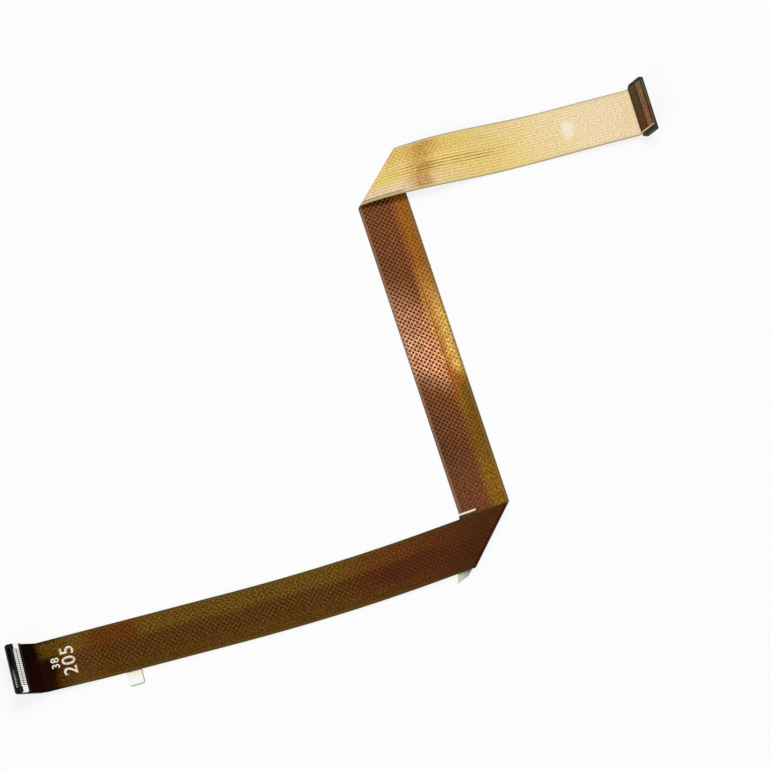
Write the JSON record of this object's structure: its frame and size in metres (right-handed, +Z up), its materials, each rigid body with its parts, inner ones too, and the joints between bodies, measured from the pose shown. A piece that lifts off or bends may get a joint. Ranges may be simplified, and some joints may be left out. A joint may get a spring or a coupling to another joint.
{
  "type": "flexible printed circuit cable",
  "caption": "Flat amber flexible circuit folded twice into a Z, with a slim board connector on each end and peel-off adhesive pads.",
  "frame": {"origin": "centre of the bounding box, at the height of the surface that the cable lies on", "axes": "+X along the straight part of the lower run from the left connector to the lower fold, +Y from the lower fold towards the upper fold, +Z up off the surface"},
  "size_m": [0.1532, 0.0952, 0.0057],
  "materials": {
    "polyimide_film": "glossy amber film over copper",
    "stiffener_film": "glossy amber board",
    "black_moulding": "matt",
    "dark_moulding": "matt",
    "plated_contacts": "bright plating",
    "adhesive": "tacky",
    "white_liner": "satin coated paper",
    "clear_liner": "satin"
  },
  "bodies": {
    "root": {"flex_circuit": "polyimide_film", "left_stiffener": "stiffener_film", "left_connector_housing": "black_moulding", "left_contact_row_inner": "plated_contacts", "left_contact_row_outer": "plated_contacts", "left_fixing_nails": "plated_contacts", "right_stiffener": "stiffener_film", "right_connector_housing": "dark_moulding", "right_contact_row_inner": "plated_contacts", "right_contact_row_outer": "plated_contacts", "right_fixing_nails": "plated_contacts", "tail_pad": "adhesive", "tail_pad_liner": "white_liner", "fold_pad": "adhesive", "fold_pad_liner": "clear_liner"}
  },
  "joints": []
}
